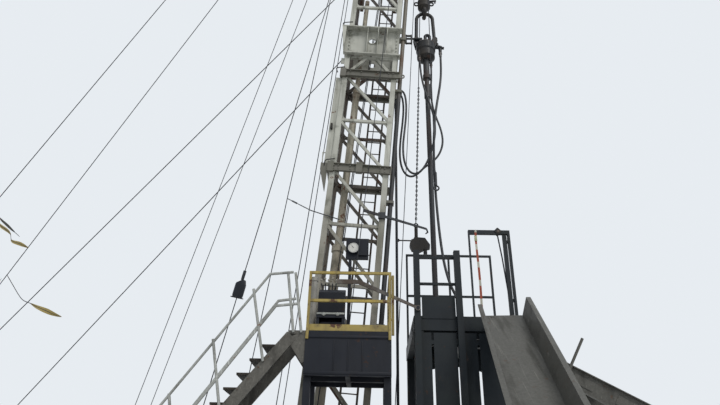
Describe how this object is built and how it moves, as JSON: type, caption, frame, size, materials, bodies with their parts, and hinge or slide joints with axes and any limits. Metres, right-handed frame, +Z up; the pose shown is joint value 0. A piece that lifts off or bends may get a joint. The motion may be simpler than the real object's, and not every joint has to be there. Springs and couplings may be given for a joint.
{
  "type": "workover rig",
  "caption": "Guyed workover rig: leaning two-section lattice mast, crown, travelling block with swivel and pipe, driller platform, work floor, pipe slide and stairs.",
  "frame": {"origin": "on the ground, under the middle of the mast foot, in the underside of the skid", "axes": "+X from the mast towards the well, +Y to the far side, away from the driller platform, +Z up"},
  "size_m": [25.1594, 18.3563, 28.7626],
  "materials": {
    "black_hose": "black rubber hose",
    "dark_steel": "dark greasy paint",
    "floor_green": "dark green paint",
    "galvanised": "dull galvanised steel",
    "lever_steel": "bare steel",
    "mast_paint": "weathered cream paint, rust and moss stains",
    "rust_pipe": "rusty steel pipe",
    "wire_rope": "greased wire rope",
    "yellow_paint": "worn yellow paint"
  },
  "bodies": {
    "root": {"air_pipe": "galvanised", "control_console": "dark_steel", "crown_frame": "mast_paint", "crown_sheaves": "dark_steel", "door_frame": "floor_green", "drilling_falls": "wire_rope", "drum_cheeks": "dark_steel", "fast_lines": "wire_rope", "floor_columns": "floor_green", "floor_frame": "floor_green", "floor_plate": "floor_green", "floor_rails": "floor_green", "floor_screens": "floor_green", "front_posts": "floor_green", "gauge_panel": "dark_steel", "guy_anchors": "dark_steel", "guy_lines": "wire_rope", "hook_arm": "dark_steel", "hose_bracket": "mast_paint", "hose_left": "black_hose", "hose_right": "black_hose", "hydraulic_risers": "black_hose", "left_stair_rails": "galvanised", "left_stair_stringers": "galvanised", "left_stair_treads": "galvanised", "lever_pin": "dark_steel", "line_drum": "dark_steel", "mast_collar_lower": "mast_paint", "mast_collar_upper": "mast_paint", "mast_girder": "mast_paint", "mast_ladder": "mast_paint", "mast_lower_back": "mast_paint", "mast_lower_far_side": "mast_paint", "mast_lower_near_side": "mast_paint", "mast_pedestal": "mast_paint", "mast_upper_back": "mast_paint", "mast_upper_far_side": "mast_paint", "mast_upper_near_side": "mast_paint", "pipe_slide": "galvanised", "platform_box": "dark_steel", "platform_legs": "dark_steel", "platform_rails": "yellow_paint", "power_tong": "dark_steel", "right_stair": "galvanised", "rotary_hose": "black_hose", "scoping_cylinder": "mast_paint", "skid_beams": "dark_steel", "skid_deck": "dark_steel", "skid_runners": "dark_steel", "standpipe": "rust_pipe", "standpipe_clamps": "rust_pipe", "toe_panel": "floor_green", "tool_bench": "dark_steel"},
    "block": {"travelling_block": "dark_steel", "hook_body": "dark_steel", "swivel_bail": "dark_steel", "power_swivel": "dark_steel"},
    "string": {"swivel_stem": "rust_pipe", "drill_pipe": "rust_pipe"},
    "lever": {"brake_lever": "lever_steel"}
  },
  "joints": [
    {"name": "block_travel", "type": "slide", "parent": "root", "child": "block", "axis": [0, 0, 1], "range_m": [-3.3, 0.3], "deforming": ["drilling_falls", "hose_left", "hose_right", "rotary_hose"]},
    {"name": "string_spin", "type": "hinge", "parent": "block", "child": "string", "pos_m": [2.1, 0, 11], "axis": [0, 0, 1], "continuous": true},
    {"name": "lever_swing", "type": "hinge", "parent": "root", "child": "lever", "pos_m": [1.63, -1.3334, 4.8], "axis": [0, 1, 0], "range_deg": [-12, 10]}
  ]
}
